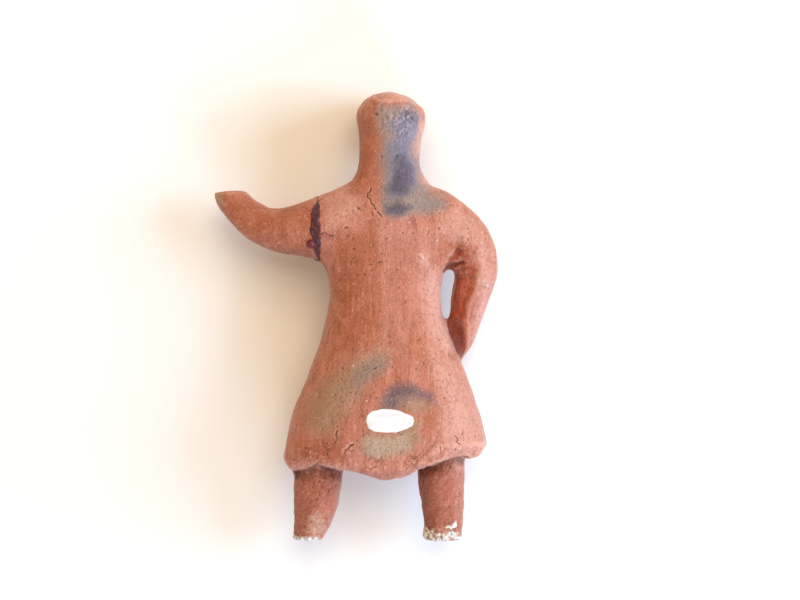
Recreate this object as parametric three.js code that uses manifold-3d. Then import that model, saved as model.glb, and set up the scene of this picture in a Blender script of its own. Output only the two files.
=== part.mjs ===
// A small hand-modelled figure of fired clay in a flared tunic. One arm is stretched out and broken off at the
// wrist, the other is bent with its hand on the hip, and both legs are broken off below the knee. The stretched
// arm has been glued back on at the shoulder. The figure lies on its front, as it does when it is loose.
// Millimetres. +Y runs towards the crown, +X towards the bent arm, and +Z up through the figure's back.
// Heights along Z are measured from the surface that the figure lies on.

import * as THREE from "three";
import { mergeVertices } from "three/addons/utils/BufferGeometryUtils.js";
import Module from "manifold-3d";

const wasm = await Module();
wasm.setup();
const { lerp, clamp } = THREE.MathUtils;

// Lengths along the figure, one after the other from the broken leg ends to the crown.
const legLength = 18;
const skirtLength = 40;
const torsoLength = 20;
const neckLength = 11;
const headLength = 16.7;

const hemAt = legLength;
const waistAt = hemAt + skirtLength;
const shoulderAt = waistAt + torsoLength;
const neckAt = shoulderAt + neckLength;
const crownAt = neckAt + headLength;

// Widths across the figure.
const hemWidth = 47.8;
const waistWidth = 25.9;
const chestWidth = 29.6;
const neckWidth = 13.5;
const headWidth = 15.4;

// Heights of the back and of the front above the surface that the figure lies on. The hem's front would pass a
// little below that surface, so it is pressed flat there, and the figure rests on it.
const hemBack = 26.8;
const hemFront = -0.7;
const waistBack = 23.6;
const waistFront = 6.8;
const chestBack = 23.4;
const chestFront = 6.2;
const neckBack = 19.4;
const neckFront = 7.4;
const headBack = 21.2;
const headFront = 2.6;

// The hem and the shallow hollow under the tunic.
const hemThickness = 4.8;
const hemRecess = 3.6;
const hemRounding = 2.4;
const hemTilt = 0.07;
const foldSwell = 0.9;

// The limbs. Their sections are a little flatter from back to front than across.
const stretchedArmRadius = 6.9;
const stretchedArmReach = 37.4;
const wristRadius = 3.5;
const bentArmRadius = 5.2;
const bentArmGap = 2.7;
const handRadius = 3.4;
const thighRadius = 5.8;
const legSpread = 28.5;
const armHeight = 14.8;
const legHeight = 12.8;
const limbFlatness = 0.95;

// How softly the clay of one part runs into the next.
const shoulderBlend = 3.6;
const neckBlend = 6.5;
const armpitBlend = 1.5;
const handBlend = 2.4;
const legBlend = 2.4;
const unevenness = 0.16;

// The face: a pinched nose, pellets for eyes, a pressed mouth, and small ears.
const noseLength = 5;
const noseRadius = 1.6;
const eyeSpacing = 6.8;
const eyeRadius = 1.7;
const mouthWidth = 4.6;
const earLength = 4.8;

// The dried glue that was squeezed out of the mended break, and the gap round it.
const glueWidth = 1.7;
const glueProud = 0.4;
const seamWander = 0.35;
const grooveRise = 1.5;
const glueDepth = 0.5;
const glueClearance = 0.2;

// Steps of the grid that the surface is modelled on: coarse on the body, finer at the hem and on the face.
const coarseStep = 2.45;
const hemStep = 1.6;
const faceStep = 1.15;
const margin = 3;

// Distance fields: each is below zero inside the clay.

// The smaller of two distances, with a soft fillet between the two bodies.
function join(a, b, radius) {
  const h = Math.max(radius - Math.abs(a - b), 0) / radius;
  return Math.min(a, b) - (h * h * radius) / 4;
}

// The first body without the second, with a soft edge.
const carve = (a, b, radius) => -join(-a, b, radius);

// A hump of height 1 at zero, which fades out over about the given width.
const hump = (offset, width) => Math.exp(-((offset / width) ** 2));

// 0 below the first value, 1 above the second, and smooth between them.
const rise = (value, from, to) => THREE.MathUtils.smoothstep(value, from, to);

// A body along Y whose cross-sections are superellipses, given at stations and smooth between them. It ends
// flat at its first and last stations.
function loft(stations) {
  const [first, last] = [stations[0].at, stations.at(-1).at];
  const fields = ["width", "shift", "front", "back", "square"];
  const places = stations.map((s) => s.at);
  const values = stations.flatMap((s) => fields.map((f) => s[f]));
  const between = new THREE.CubicInterpolant(places, values, fields.length, new Float64Array(fields.length));
  return (x, y, z, swell = 0) => {
    const [width, shift, front, back, square] = between.evaluate(y);
    const halfWidth = width / 2 + swell;
    const halfDepth = (back - front) / 2 + swell;
    const across = Math.abs(x - shift) / halfWidth;
    const through = Math.abs(z - (front + back) / 2) / halfDepth;
    const level = (across ** square + through ** square) ** (1 / square);
    const pastEnd = Math.max(first - y, y - last);
    if (level < 0.2) return Math.max(-0.8 * Math.min(halfWidth, halfDepth), pastEnd);
    const slope = Math.hypot(across ** (square - 1) / halfWidth, through ** (square - 1) / halfDepth);
    return Math.max((level - 1) / (slope * level ** (1 - square)), pastEnd);
  };
}

// A limb along a smooth curve. Each station is its middle x, y and z, and its radius there.
function limb(stations, flatness = limbFlatness) {
  const curve = new THREE.CatmullRomCurve3(stations.map(([x, y, z]) => new THREE.Vector3(x, y, z)));
  const spans = stations.length - 1;
  const count = spans * 3;
  const rings = Array.from({ length: count + 1 }, (_, i) => {
    const along = (i / count) * spans;
    const first = Math.min(Math.floor(along), spans - 1);
    return { middle: curve.getPoint(i / count), radius: lerp(stations[first][3], stations[first + 1][3], along - first) };
  });
  return (x, y, z) => {
    let nearest = Infinity;
    for (let i = 0; i < count; i++) {
      const { middle: a, radius: radiusA } = rings[i];
      const { middle: b, radius: radiusB } = rings[i + 1];
      const [dx, dy, dz] = [b.x - a.x, b.y - a.y, b.z - a.z];
      const along = ((x - a.x) * dx + (y - a.y) * dy + (z - a.z) * dz) / (dx * dx + dy * dy + dz * dz);
      const t = clamp(along, 0, 1);
      const away = Math.hypot(x - a.x - dx * t, y - a.y - dy * t, (z - a.z - dz * t) / flatness);
      nearest = Math.min(nearest, away - lerp(radiusA, radiusB, t));
    }
    return nearest;
  };
}

// An egg shape with its own radius on each axis.
function egg(middle, radii) {
  const smallest = Math.min(...radii);
  return (x, y, z) =>
    (Math.hypot((x - middle[0]) / radii[0], (y - middle[1]) / radii[1], (z - middle[2]) / radii[2]) - 1) * smallest;
}

// The tunic from the hem to the shoulders. The waist leans a little to the stretched arm's side.
const waistShift = -0.75;
const trunkStations = [
  { at: hemAt - 6, width: hemWidth - 1, shift: -0.35, front: hemFront + 0.8, back: hemBack - 0.8, square: 2.5 },
  { at: hemAt + 4, width: hemWidth, shift: -0.35, front: hemFront, back: hemBack, square: 2.5 },
  {
    at: lerp(hemAt, waistAt, 0.5),
    width: lerp(hemWidth, waistWidth, 0.46),
    shift: -0.2,
    front: lerp(hemFront, waistFront, 0.5),
    back: lerp(hemBack, waistBack, 0.38),
    square: 2.4,
  },
  {
    at: lerp(hemAt, waistAt, 0.75),
    width: lerp(hemWidth, waistWidth, 0.81),
    shift: -0.4,
    front: lerp(hemFront, waistFront, 0.78),
    back: lerp(hemBack, waistBack, 0.7),
    square: 2.4,
  },
  { at: waistAt, width: waistWidth, shift: waistShift, front: waistFront, back: waistBack, square: 2.3 },
  {
    at: lerp(waistAt, shoulderAt, 0.6),
    width: chestWidth,
    shift: -0.4,
    front: chestFront,
    back: chestBack,
    square: 2.3,
  },
  {
    at: shoulderAt,
    width: chestWidth - 4.6,
    shift: -0.3,
    front: chestFront + 1.2,
    back: chestBack - 1.2,
    square: 2.2,
  },
  {
    at: lerp(shoulderAt, neckAt, 0.5),
    width: lerp(chestWidth, neckWidth, 0.87),
    shift: 0.5,
    front: lerp(chestFront, neckFront, 0.8) + 1.6,
    back: lerp(chestBack, neckBack, 0.7) - 0.8,
    square: 2.1,
  },
  {
    at: neckAt,
    width: neckWidth - 7,
    shift: 0,
    front: neckFront + 3,
    back: neckBack - 3,
    square: 2.1,
  },
];
const trunk = loft(trunkStations);

// The lobes of the hem: where each is, in degrees round the figure from the bent arm's side by way of the back,
// how wide it is, and how far it hangs.
const hemLobes = [
  { round: 32, width: 12, drop: 1.3 },
  { round: 89, width: 27, drop: 4.4 },
  { round: 158, width: 17, drop: 1.2 },
  { round: 212, width: 20, drop: 1.6 },
  { round: 266, width: 24, drop: 3.2 },
  { round: 318, width: 18, drop: 1.8 },
];
const hemMiddle = (hemBack + hemFront) / 2;

function lobeDrop(x, z) {
  const round = THREE.MathUtils.radToDeg(Math.atan2((z - hemMiddle) / (hemBack - hemFront), x / hemWidth));
  return hemLobes.reduce((sum, lobe) => {
    const apart = THREE.MathUtils.euclideanModulo(round - lobe.round + 180, 360) - 180;
    return sum + lobe.drop * hump(apart, lobe.width);
  }, 0);
}

// The shallow hollow under the tunic, between the legs.
const hollow = egg(
  [0, hemAt + 1, hemMiddle],
  [legSpread / 2 - thighRadius * 0.6, hemRecess, (hemBack - hemFront) / 2 - hemThickness],
);

// The skirt swells into soft folds above the lobes.
function tunic(x, y, z) {
  const drop = lobeDrop(x, z);
  const folds = 1 - rise(y, hemAt, lerp(hemAt, waistAt, 0.5));
  const outside = trunk(x, y, z, foldSwell * folds * (Math.min(drop, 2) / 2 - 0.3));
  const straightHem = hemAt + 1.5 + hemTilt * x;
  const fromAxis = rise(Math.hypot(x / hemWidth, (z - hemMiddle) / (hemBack - hemFront)), 0.1, 0.35);
  const body = carve(outside, y - (straightHem - fromAxis * drop), hemRounding);
  return carve(body, hollow(x, y, z), hemRounding);
}

// The thick neck and the head are one column. The top of the head is nearly flat and tips to the back.
const headShift = 0.75;
const crownLean = 0.13;
const crownDoming = 0.05;
const column = loft([
  {
    at: shoulderAt - 2,
    width: neckWidth + 1.5,
    shift: 0.1,
    front: neckFront + 2,
    back: neckBack + 1,
    square: 2.2,
  },
  { at: neckAt, width: neckWidth, shift: 0.3, front: neckFront, back: neckBack, square: 2.4 },
  {
    at: lerp(neckAt, crownAt, 0.28),
    width: lerp(neckWidth, headWidth, 0.15),
    shift: 0.5,
    front: lerp(neckFront, headFront, 0.86),
    back: lerp(neckBack, headBack, 0.45),
    square: 2.7,
  },
  {
    at: lerp(neckAt, crownAt, 0.64),
    width: headWidth,
    shift: headShift,
    front: headFront,
    back: headBack,
    square: 2.8,
  },
  {
    at: crownAt + 2,
    width: headWidth - 0.4,
    shift: headShift,
    front: headFront + 0.8,
    back: headBack - 0.2,
    square: 2.8,
  },
]);

const browAt = lerp(neckAt, crownAt, 0.74);
const noseTipAt = browAt - noseLength;
const mouthAt = noseTipAt - 2.2;
const nose = limb([
  [headShift, browAt + 0.4, headFront + 0.6, noseRadius * 0.6],
  [headShift, (browAt + noseTipAt) / 2, headFront - 0.3, noseRadius * 0.72],
  [headShift, noseTipAt, noseRadius - 0.3, noseRadius],
]);
const mouth = egg([headShift, mouthAt, headFront - 0.1], [mouthWidth / 2, 0.8, 0.8]);
const bothSides = [-1, 1];
const eyes = bothSides.map((side) =>
  egg([headShift + (side * eyeSpacing) / 2, browAt - 1.7, headFront + 0.6], [eyeRadius, eyeRadius * 0.85, 1.3]),
);
const ears = bothSides.map((side) =>
  egg([headShift + (side * headWidth) / 2 - side * 0.7, browAt - 2.8, lerp(headFront, headBack, 0.55)], [
    1,
    earLength / 2,
    2.2,
  ]),
);

function head(x, y, z) {
  const crown = crownAt - crownLean * (z - headFront) - crownDoming * (x - headShift + 0.6) ** 2;
  let clay = carve(column(x, y, z), crown - y, 3);
  for (const eye of eyes) clay = join(clay, eye(x, y, z), 1.1);
  clay = join(clay, nose(x, y, z), 1.6);
  clay = carve(clay, mouth(x, y, z), 1);
  for (const ear of ears) clay = join(clay, ear(x, y, z), 1);
  return clay;
}

// The stretched arm curves up towards the head and ends in the flat break at the wrist.
const armRoot = chestWidth / 2 - 4.7;
const stretched = (share) => -lerp(armRoot, stretchedArmReach, share);
const stretchedArm = limb([
  [stretched(0), shoulderAt - 3.3, armHeight, stretchedArmRadius + 1],
  [stretched(0.26), shoulderAt - 4.8, armHeight - 0.2, stretchedArmRadius],
  [stretched(0.48), shoulderAt - 5.4, armHeight - 1, lerp(stretchedArmRadius, wristRadius, 0.33)],
  [stretched(0.65), shoulderAt - 4.7, armHeight - 2, lerp(stretchedArmRadius, wristRadius, 0.62)],
  [stretched(0.79), shoulderAt - 2.6, armHeight - 3.2, lerp(stretchedArmRadius, wristRadius, 0.77)],
  [stretched(0.91), shoulderAt + 0.3, armHeight - 4.4, lerp(stretchedArmRadius, wristRadius, 0.9)],
  [stretched(1), shoulderAt + 4, armHeight - 5.6, wristRadius],
]);
const wristBreakAt = shoulderAt + 3.9;

// The bent arm runs down from the shoulder, past the waist with a gap, and in to the hip under the skirt's edge.
const waistSide = waistWidth / 2 + waistShift;
const elbowOut = waistSide + bentArmGap + bentArmRadius;
const hipOut = lerp(hemWidth, waistWidth, 0.65) / 2 - 3;
const bentArm = limb([
  [armRoot + 1.4, shoulderAt - 1.4, armHeight + 0.7, bentArmRadius + 0.3],
  [lerp(armRoot, elbowOut, 0.62), shoulderAt - 4.8, armHeight + 0.5, bentArmRadius],
  [elbowOut, shoulderAt - 9.8, armHeight, bentArmRadius],
  [elbowOut + 0.7, shoulderAt - 14.5, armHeight - 1, bentArmRadius],
  [elbowOut - 0.6, waistAt - 0.4, armHeight - 3.2, lerp(bentArmRadius, handRadius, 0.3)],
  [lerp(elbowOut, hipOut, 0.34), waistAt - 6.3, armHeight - 5.4, lerp(bentArmRadius, handRadius, 0.6)],
  [lerp(elbowOut, hipOut, 0.67), waistAt - 12, armHeight - 7.4, lerp(bentArmRadius, handRadius, 0.75)],
  [hipOut, waistAt - 16.4, armHeight - 8.6, handRadius],
]);

// The clay that fills the bent arm's armpit.
const armpit = egg([waistSide + bentArmGap * 0.6, waistAt + 8.8, armHeight - 0.5], [2.4, 3, 5]);

// The legs taper to flat breaks.
const leftLeg = limb([
  [-legSpread / 2 - 1.6, hemAt + 3, legHeight + 0.4, thighRadius + 0.2],
  [-legSpread / 2 - 2.5, hemAt * 0.52, legHeight, thighRadius * 0.9],
  [-legSpread / 2 - 3.6, hemAt * 0.26, legHeight - 0.2, thighRadius * 0.74],
  [-legSpread / 2 - 4.8, 0, legHeight - 0.4, thighRadius * 0.55],
]);
const rightLeg = limb([
  [legSpread / 2 - 1.9, hemAt + 3, legHeight + 0.4, thighRadius + 0.1],
  [legSpread / 2 - 1.4, hemAt * 0.52, legHeight, thighRadius * 0.88],
  [legSpread / 2 - 1.2, hemAt * 0.26, legHeight - 0.2, thighRadius * 0.8],
  [legSpread / 2 - 1.4, 0, legHeight - 0.4, thighRadius * 0.76],
]);

// Slow dents and swellings, as fingers leave them.
function handling(x, y, z) {
  return (
    Math.sin(x * 0.42 + 1.3) * Math.sin(y * 0.31 + 0.4) * Math.sin(z * 0.37 + 2.1) +
    0.6 * Math.sin(x * 0.83 + y * 0.57 + 0.9) * Math.sin(z * 0.71 - y * 0.64)
  );
}

function figureDistance(x, y, z) {
  let clay = join(tunic(x, y, z), head(x, y, z), neckBlend);
  clay = join(clay, stretchedArm(x, y, z), shoulderBlend);
  const atHand = 1 - rise(y, waistAt - 15, waistAt - 10);
  const atShoulder = rise(y, shoulderAt - 15, shoulderAt - 7);
  const bentArmBlend = armpitBlend + atHand * (handBlend - armpitBlend) + atShoulder * (shoulderBlend - armpitBlend);
  clay = join(clay, bentArm(x, y, z), bentArmBlend);
  clay = join(clay, armpit(x, y, z), armpitBlend);
  clay = join(clay, Math.min(leftLeg(x, y, z), rightLeg(x, y, z)), legBlend);
  return clay - unevenness * handling(x, y, z);
}

// The surface where a distance field is zero, as a closed mesh. Each grid cell that the surface passes through
// gets one vertex for each sheet of surface in it, and each grid edge that it crosses gets one face.
function surfaceMesh(distance, grid) {
  const counts = grid.map((line) => line.length);
  const nodeAt = (n) => n[0] + counts[0] * (n[1] + counts[1] * n[2]);
  const values = new Float64Array(counts[0] * counts[1] * counts[2]);
  const everyNode = (visit) => {
    for (let k = 0; k < counts[2]; k++)
      for (let j = 0; j < counts[1]; j++) for (let i = 0; i < counts[0]; i++) visit([i, j, k]);
  };
  everyNode((n) => (values[nodeAt(n)] = distance(grid[0][n[0]], grid[1][n[1]], grid[2][n[2]])));
  const moved = (n, axis, by) => n.map((value, a) => (a === axis ? value + by : value));
  const next = (axis) => (axis + 1) % 3;
  const edgeNumber = (axis, first, second) => axis * 4 + first + 2 * second;

  const positions = [];
  const vertexOf = new Map();

  // Links the cell's crossed edges that one sheet of surface runs through, and gives each sheet its vertex.
  function fillCell(cell) {
    const corner = (offsets) => values[nodeAt(cell.map((n, a) => n + offsets[a]))];
    const crossings = new Map();
    for (let axis = 0; axis < 3; axis++)
      for (const second of [0, 1])
        for (const first of [0, 1]) {
          const start = [0, 0, 0];
          start[next(axis)] = first;
          start[next(next(axis))] = second;
          const end = moved(start, axis, 1);
          const [a, b] = [corner(start), corner(end)];
          if (a < 0 === b < 0) continue;
          const point = [0, 1, 2].map((d) =>
            lerp(grid[d][cell[d] + start[d]], grid[d][cell[d] + end[d]], d === axis ? a / (a - b) : 0),
          );
          crossings.set(edgeNumber(axis, first, second), point);
        }
    if (!crossings.size) return;

    const sheet = new Map([...crossings.keys()].map((edge) => [edge, edge]));
    const rootOf = (edge) => (sheet.get(edge) === edge ? edge : rootOf(sheet.get(edge)));
    for (let axis = 0; axis < 3; axis++)
      for (const side of [0, 1]) {
        const [b, c] = [next(axis), next(next(axis))];
        const alongB = (offsetC) => edgeNumber(b, offsetC, side);
        const alongC = (offsetB) => edgeNumber(c, side, offsetB);
        const crossed = [alongB(0), alongB(1), alongC(0), alongC(1)].filter((edge) => crossings.has(edge));
        if (crossed.length === 2) sheet.set(rootOf(crossed[0]), rootOf(crossed[1]));
        if (crossed.length !== 4) continue;
        const faceCorner = (offsetB, offsetC) => {
          const offsets = [0, 0, 0];
          offsets[axis] = side;
          offsets[b] = offsetB;
          offsets[c] = offsetC;
          return corner(offsets);
        };
        const middle = faceCorner(0, 0) + faceCorner(1, 0) + faceCorner(0, 1) + faceCorner(1, 1);
        for (const offsetB of [0, 1])
          for (const offsetC of [0, 1])
            if (faceCorner(offsetB, offsetC) < 0 !== middle < 0)
              sheet.set(rootOf(alongB(offsetC)), rootOf(alongC(offsetB)));
      }

    const groups = Map.groupBy(crossings.keys(), rootOf);
    for (const edges of groups.values()) {
      const mean = [0, 1, 2].map((d) => edges.reduce((sum, e) => sum + crossings.get(e)[d], 0) / edges.length);
      edges.forEach((edge) => vertexOf.set(nodeAt(cell) * 12 + edge, positions.length / 3));
      positions.push(...mean);
    }
  }
  everyNode((n) => {
    if (n.every((value, a) => value < counts[a] - 1)) fillCell(n);
  });

  const indices = [];
  const point = (v) => new THREE.Vector3().fromArray(positions, v * 3);
  everyNode((n) => {
    for (let axis = 0; axis < 3; axis++) {
      if (n[axis] === counts[axis] - 1) continue;
      const startInside = values[nodeAt(n)] < 0;
      if (startInside === values[nodeAt(moved(n, axis, 1))] < 0) continue;
      const ring = [[0, 0], [1, 0], [1, 1], [0, 1]].map(([first, second]) => {
        const cell = moved(moved(n, next(axis), -first), next(next(axis)), -second);
        return vertexOf.get(nodeAt(cell) * 12 + edgeNumber(axis, first, second));
      });
      if (!startInside) ring.reverse();
      const [a, b, c, d] = ring;
      if (point(a).distanceTo(point(c)) < point(b).distanceTo(point(d))) indices.push(a, b, c, a, c, d);
      else indices.push(a, b, d, b, c, d);
    }
  });
  settle(positions, indices, distance);
  return new THREE.BufferGeometry()
    .setAttribute("position", new THREE.Float32BufferAttribute(positions, 3))
    .setIndex(indices);
}

// Moves each vertex some of the way towards the middle of its neighbours.
function evenOut(positions, indices, share) {
  const sums = new Float64Array(positions.length);
  const neighbours = new Uint32Array(positions.length / 3);
  for (let i = 0; i < indices.length; i += 3)
    for (const [from, to] of [[0, 1], [1, 2], [2, 0]]) {
      const [vertex, neighbour] = [indices[i + from], indices[i + to]];
      neighbours[vertex] += 1;
      for (let d = 0; d < 3; d++) sums[vertex * 3 + d] += positions[neighbour * 3 + d];
    }
  for (let i = 0; i < positions.length; i++)
    positions[i] = lerp(positions[i], sums[i] / neighbours[Math.floor(i / 3)], share);
}

// Evens out the mesh, and moves each vertex along the field's slope to the true surface.
function settle(positions, indices, distance) {
  const reach = 0.05;
  const furthest = 0.5;
  const rounds = 4;
  for (let round = 1; round <= rounds; round++) {
    if (round < rounds) evenOut(positions, indices, 0.45);
    for (let i = 0; i < positions.length; i += 3) {
      const at = positions.slice(i, i + 3);
      const here = distance(...at);
      const slope = at.map((_, d) => (distance(...at.map((v, a) => (a === d ? v + reach : v))) - here) / reach);
      const steepness = Math.max(Math.hypot(...slope), 0.4);
      const step = clamp(here / steepness, -furthest, furthest) / steepness;
      const moved = at.map((v, d) => v - step * slope[d]);
      if (Math.abs(distance(...moved)) < Math.abs(here)) moved.forEach((v, d) => (positions[i + d] = v));
    }
  }
}

// Grid lines from one value to another. Inside a fine stretch, given as [from, to, step], they are closer.
function gridLines(from, to, ...fineStretches) {
  const lines = [from];
  while (lines.at(-1) < to) {
    const fine = fineStretches.find(([start, end]) => lines.at(-1) >= start && lines.at(-1) < end);
    lines.push(lines.at(-1) + (fine ? fine[2] : coarseStep));
  }
  return lines;
}

// Solids, and how they are cut.
function toSolid(geometry) {
  const bare = new THREE.BufferGeometry().setAttribute("position", geometry.getAttribute("position"));
  bare.setIndex(geometry.getIndex());
  const merged = mergeVertices(bare);
  const vertProperties = merged.getAttribute("position").array;
  return new wasm.Manifold(new wasm.Mesh({ numProp: 3, vertProperties, triVerts: new Uint32Array(merged.index.array) }));
}

function toGeometry(solid) {
  const { vertProperties, triVerts } = solid.getMesh();
  const shape = new THREE.BufferGeometry()
    .setAttribute("position", new THREE.BufferAttribute(vertProperties, 3))
    .setIndex(new THREE.BufferAttribute(triVerts, 1));
  shape.computeVertexNormals();
  return shape;
}

// A block that is larger than the figure and lies on the far side of a plane, for a flat cut.
function blockBeyond(point, normal) {
  const size = 2 * crownAt;
  const shape = new THREE.BoxGeometry(size, size, size).translate(0, 0, size / 2);
  shape.applyQuaternion(new THREE.Quaternion().setFromUnitVectors(new THREE.Vector3(0, 0, 1), normal));
  return toSolid(shape.translate(...point));
}

// The mended break: a ring round the stretched arm's root, of a profile of [along, outwards] points that
// follow the clay's own surface.
const seamAt = stretched(0.26);
const seamMiddle = [shoulderAt - 4.8, armHeight];
const ringSteps = 40;

function clayRadius(x, angle) {
  let inside = 0;
  let outside = 3 * stretchedArmRadius;
  for (let i = 0; i < 24; i++) {
    const radius = (inside + outside) / 2;
    const clay = figureDistance(x, seamMiddle[0] + radius * Math.cos(angle), seamMiddle[1] + radius * Math.sin(angle));
    if (clay < 0) inside = radius;
    else outside = radius;
  }
  return inside;
}

function seamRing(profile) {
  const positions = [];
  const indices = [];
  for (let i = 0; i < ringSteps; i++) {
    const angle = (2 * Math.PI * i) / ringSteps;
    const wander = seamWander * (Math.sin(2 * angle + 0.6) + (4 / 7) * Math.sin(5 * angle));
    for (const [j, [along, outwards]] of profile.entries()) {
      const x = seamAt + wander + along;
      const radius = clayRadius(x, angle) + outwards;
      positions.push(x, seamMiddle[0] + radius * Math.cos(angle), seamMiddle[1] + radius * Math.sin(angle));
      const [a, b] = [i, (i + 1) % ringSteps].map((k) => k * profile.length + j);
      const [c, d] = [i, (i + 1) % ringSteps].map((k) => k * profile.length + ((j + 1) % profile.length));
      indices.push(a, b, c, b, d, c);
    }
  }
  return new THREE.BufferGeometry()
    .setAttribute("position", new THREE.Float32BufferAttribute(positions, 3))
    .setIndex(indices);
}

const half = glueWidth / 2;
const glueRing = seamRing([
  [-half, -glueDepth],
  [-half, glueProud / 4],
  [-half / 2, glueProud * 0.85],
  [0, glueProud],
  [half / 2, glueProud * 0.85],
  [half, glueProud / 4],
  [half, -glueDepth],
]);
const grooveHalf = half + glueClearance;
const grooveRing = seamRing([
  [-grooveHalf, -glueDepth - glueClearance],
  [-grooveHalf, grooveRise],
  [grooveHalf, grooveRise],
  [grooveHalf, -glueDepth - glueClearance],
]);

// The clay, with its flat breaks and the flats that it rests on.
const hemLowest = hemAt - 5;
const hemHighest = hemAt + 5;
const widestAt = Math.max(hemWidth / 2, elbowOut + bentArmRadius);
const grid = [
  gridLines(-stretchedArmReach - wristRadius - margin, widestAt + margin, [-headWidth / 2, headWidth / 2, faceStep]),
  gridLines(-thighRadius - margin, crownAt + margin, [hemLowest, hemHighest, hemStep], [mouthAt - 2, crownAt, faceStep]),
  gridLines(-margin - 1, hemBack + margin, [-margin - 1, headFront + 2, faceStep]),
];
const down = new THREE.Vector3(0, 0, -1);
const towardsFeet = new THREE.Vector3(0, -1, 0);
const alongWrist = new THREE.Vector3(-0.06, 1, -0.1).normalize();
const wristBlock = blockBeyond([stretched(0.91), wristBreakAt, armHeight - 5], alongWrist).intersect(
  blockBeyond([stretched(0.6), 0, 0], new THREE.Vector3(-1, 0, 0)),
);
const clay = toSolid(surfaceMesh(figureDistance, grid))
  .subtract(blockBeyond([0, 0, 0], down))
  .subtract(blockBeyond([0, 0, 0], towardsFeet))
  .subtract(wristBlock)
  .subtract(toSolid(grooveRing));

const terracotta = new THREE.MeshStandardMaterial({ color: "#c4806a", roughness: 0.85, metalness: 0 });
const driedGlue = new THREE.MeshStandardMaterial({ color: "#4a2426", roughness: 0.4, metalness: 0 });

function named(name, geometry, material) {
  const mesh = new THREE.Mesh(geometry, material);
  mesh.name = name;
  return mesh;
}

// The origin is under the middle of the figure's outline, on the surface that it lies on.
const figure = new THREE.Group();
figure.add(named("figure", toGeometry(clay), terracotta));
figure.add(named("glue_seam", toGeometry(toSolid(glueRing)), driedGlue));
const outline = new THREE.Box3().setFromObject(figure, true);
const middle = outline.getCenter(new THREE.Vector3());
figure.position.set(-middle.x, -middle.y, -outline.min.z);

export default figure;
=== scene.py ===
"""The looks of a small broken figure of fired clay that lies on its front.

The clay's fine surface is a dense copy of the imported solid, with the marks of handling, cracks and chips
pressed into it. Marks that show in the photograph are placed by its pixels and those of the face from the
tip of the nose, and everything else is even all over the figure. Lengths are in millimetres, unless a name
or a comment says pixels, and only what goes into Blender is turned into metres.
"""

import itertools
import math

import bmesh
import bpy
import numpy as np
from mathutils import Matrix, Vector
from mathutils.bvhtree import BVHTree


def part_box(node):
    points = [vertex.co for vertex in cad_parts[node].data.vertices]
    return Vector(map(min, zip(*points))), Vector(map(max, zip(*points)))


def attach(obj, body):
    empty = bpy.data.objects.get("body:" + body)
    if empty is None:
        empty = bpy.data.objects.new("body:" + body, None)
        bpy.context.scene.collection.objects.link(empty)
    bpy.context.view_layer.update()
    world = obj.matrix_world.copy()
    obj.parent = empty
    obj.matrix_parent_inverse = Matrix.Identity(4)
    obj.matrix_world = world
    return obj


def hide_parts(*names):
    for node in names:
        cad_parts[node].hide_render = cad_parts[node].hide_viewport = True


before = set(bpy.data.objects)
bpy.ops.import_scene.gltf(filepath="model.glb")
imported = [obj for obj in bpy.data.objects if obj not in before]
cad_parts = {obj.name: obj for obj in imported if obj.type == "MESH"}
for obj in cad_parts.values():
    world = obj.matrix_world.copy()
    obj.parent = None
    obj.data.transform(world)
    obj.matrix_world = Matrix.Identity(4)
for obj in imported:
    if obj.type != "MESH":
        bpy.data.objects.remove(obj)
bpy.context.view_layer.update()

METRE = 1000.0

# The photograph's frame, in its own pixels, and the figure's edges in it.
PHOTO_WIDTH = 800
PHOTO_HEIGHT = 600
LEFT_PX = 214.9
CROWN_PX = 92.4
ANKLE_PX = 540.0

# The camera looks straight down from this height over the middle of the figure's depth.
CAMERA_RISE = 500.0
MIDDLE_DEPTH = 13.0

# The size of the voxels that the meshes are made of.
CLAY_VOXEL = 0.63
GLUE_VOXEL = 0.13
# Rounds of smoothing for the clay at first and each time its mesh is made finer, and for the glue. A round
# draws the vertices together by the first share and spreads them again by the second.
SMOOTH_ROUNDS = (18, 4, 2)
GLUE_SMOOTH_ROUNDS = 3
SMOOTH_SHARES = (0.55, -0.57)
RELAX_SHARE = 0.6
# The mesh is made finer where it faces up by more than SEEN_FACING, and again near the marks of the face and
# near other marks where it faces up by more than MARKED_FACING.
SEEN_FACING = 0.3
MARKED_FACING = 0.1
MARK_REACH_PX = 1.7
FACE_MARK_REACH = 0.5
# What is added to the crown and the wrist, between rows or columns of pixels.
CROWN_RISE = 0.7
CROWN_ROWS = (165, 92)
WRIST_REACH = 0.65
WRIST_COLUMNS = (290, 220)
SEED = 7

figure_low, figure_high = (np.array(corner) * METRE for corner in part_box("figure"))
MM_PER_PX = (figure_high[1] - figure_low[1]) / (ANKLE_PX - CROWN_PX)
PHOTO_MIDDLE = np.array(
    [
        figure_low[0] + (PHOTO_WIDTH / 2 - LEFT_PX) * MM_PER_PX,
        figure_low[1] + (ANKLE_PX - PHOTO_HEIGHT / 2) * MM_PER_PX,
    ]
)


def to_pixels(points):
    """Where points of the model stand in the photograph, as columns of x and y."""
    nearer = CAMERA_RISE / (CAMERA_RISE - (points[:, 2] - MIDDLE_DEPTH))
    offset = (points[:, :2] - PHOTO_MIDDLE) * nearer[:, None] / MM_PER_PX
    return np.column_stack([PHOTO_WIDTH / 2 + offset[:, 0], PHOTO_HEIGHT / 2 - offset[:, 1]])


def smooth_step(values, start, end):
    """0 before start, 1 after end, and smooth between them."""
    share = np.clip((values - start) / (end - start), 0, 1)
    return share * share * (3 - 2 * share)


def band(values, start, full, ending, end):
    """1 from full to ending, 0 outside start and end, and smooth between them."""
    return smooth_step(values, start, full) * (1 - smooth_step(values, ending, end))


def bell(distances, width):
    """1 at no distance, and fading to almost nothing at twice the width."""
    return np.exp(-((distances / width) ** 2))


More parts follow.
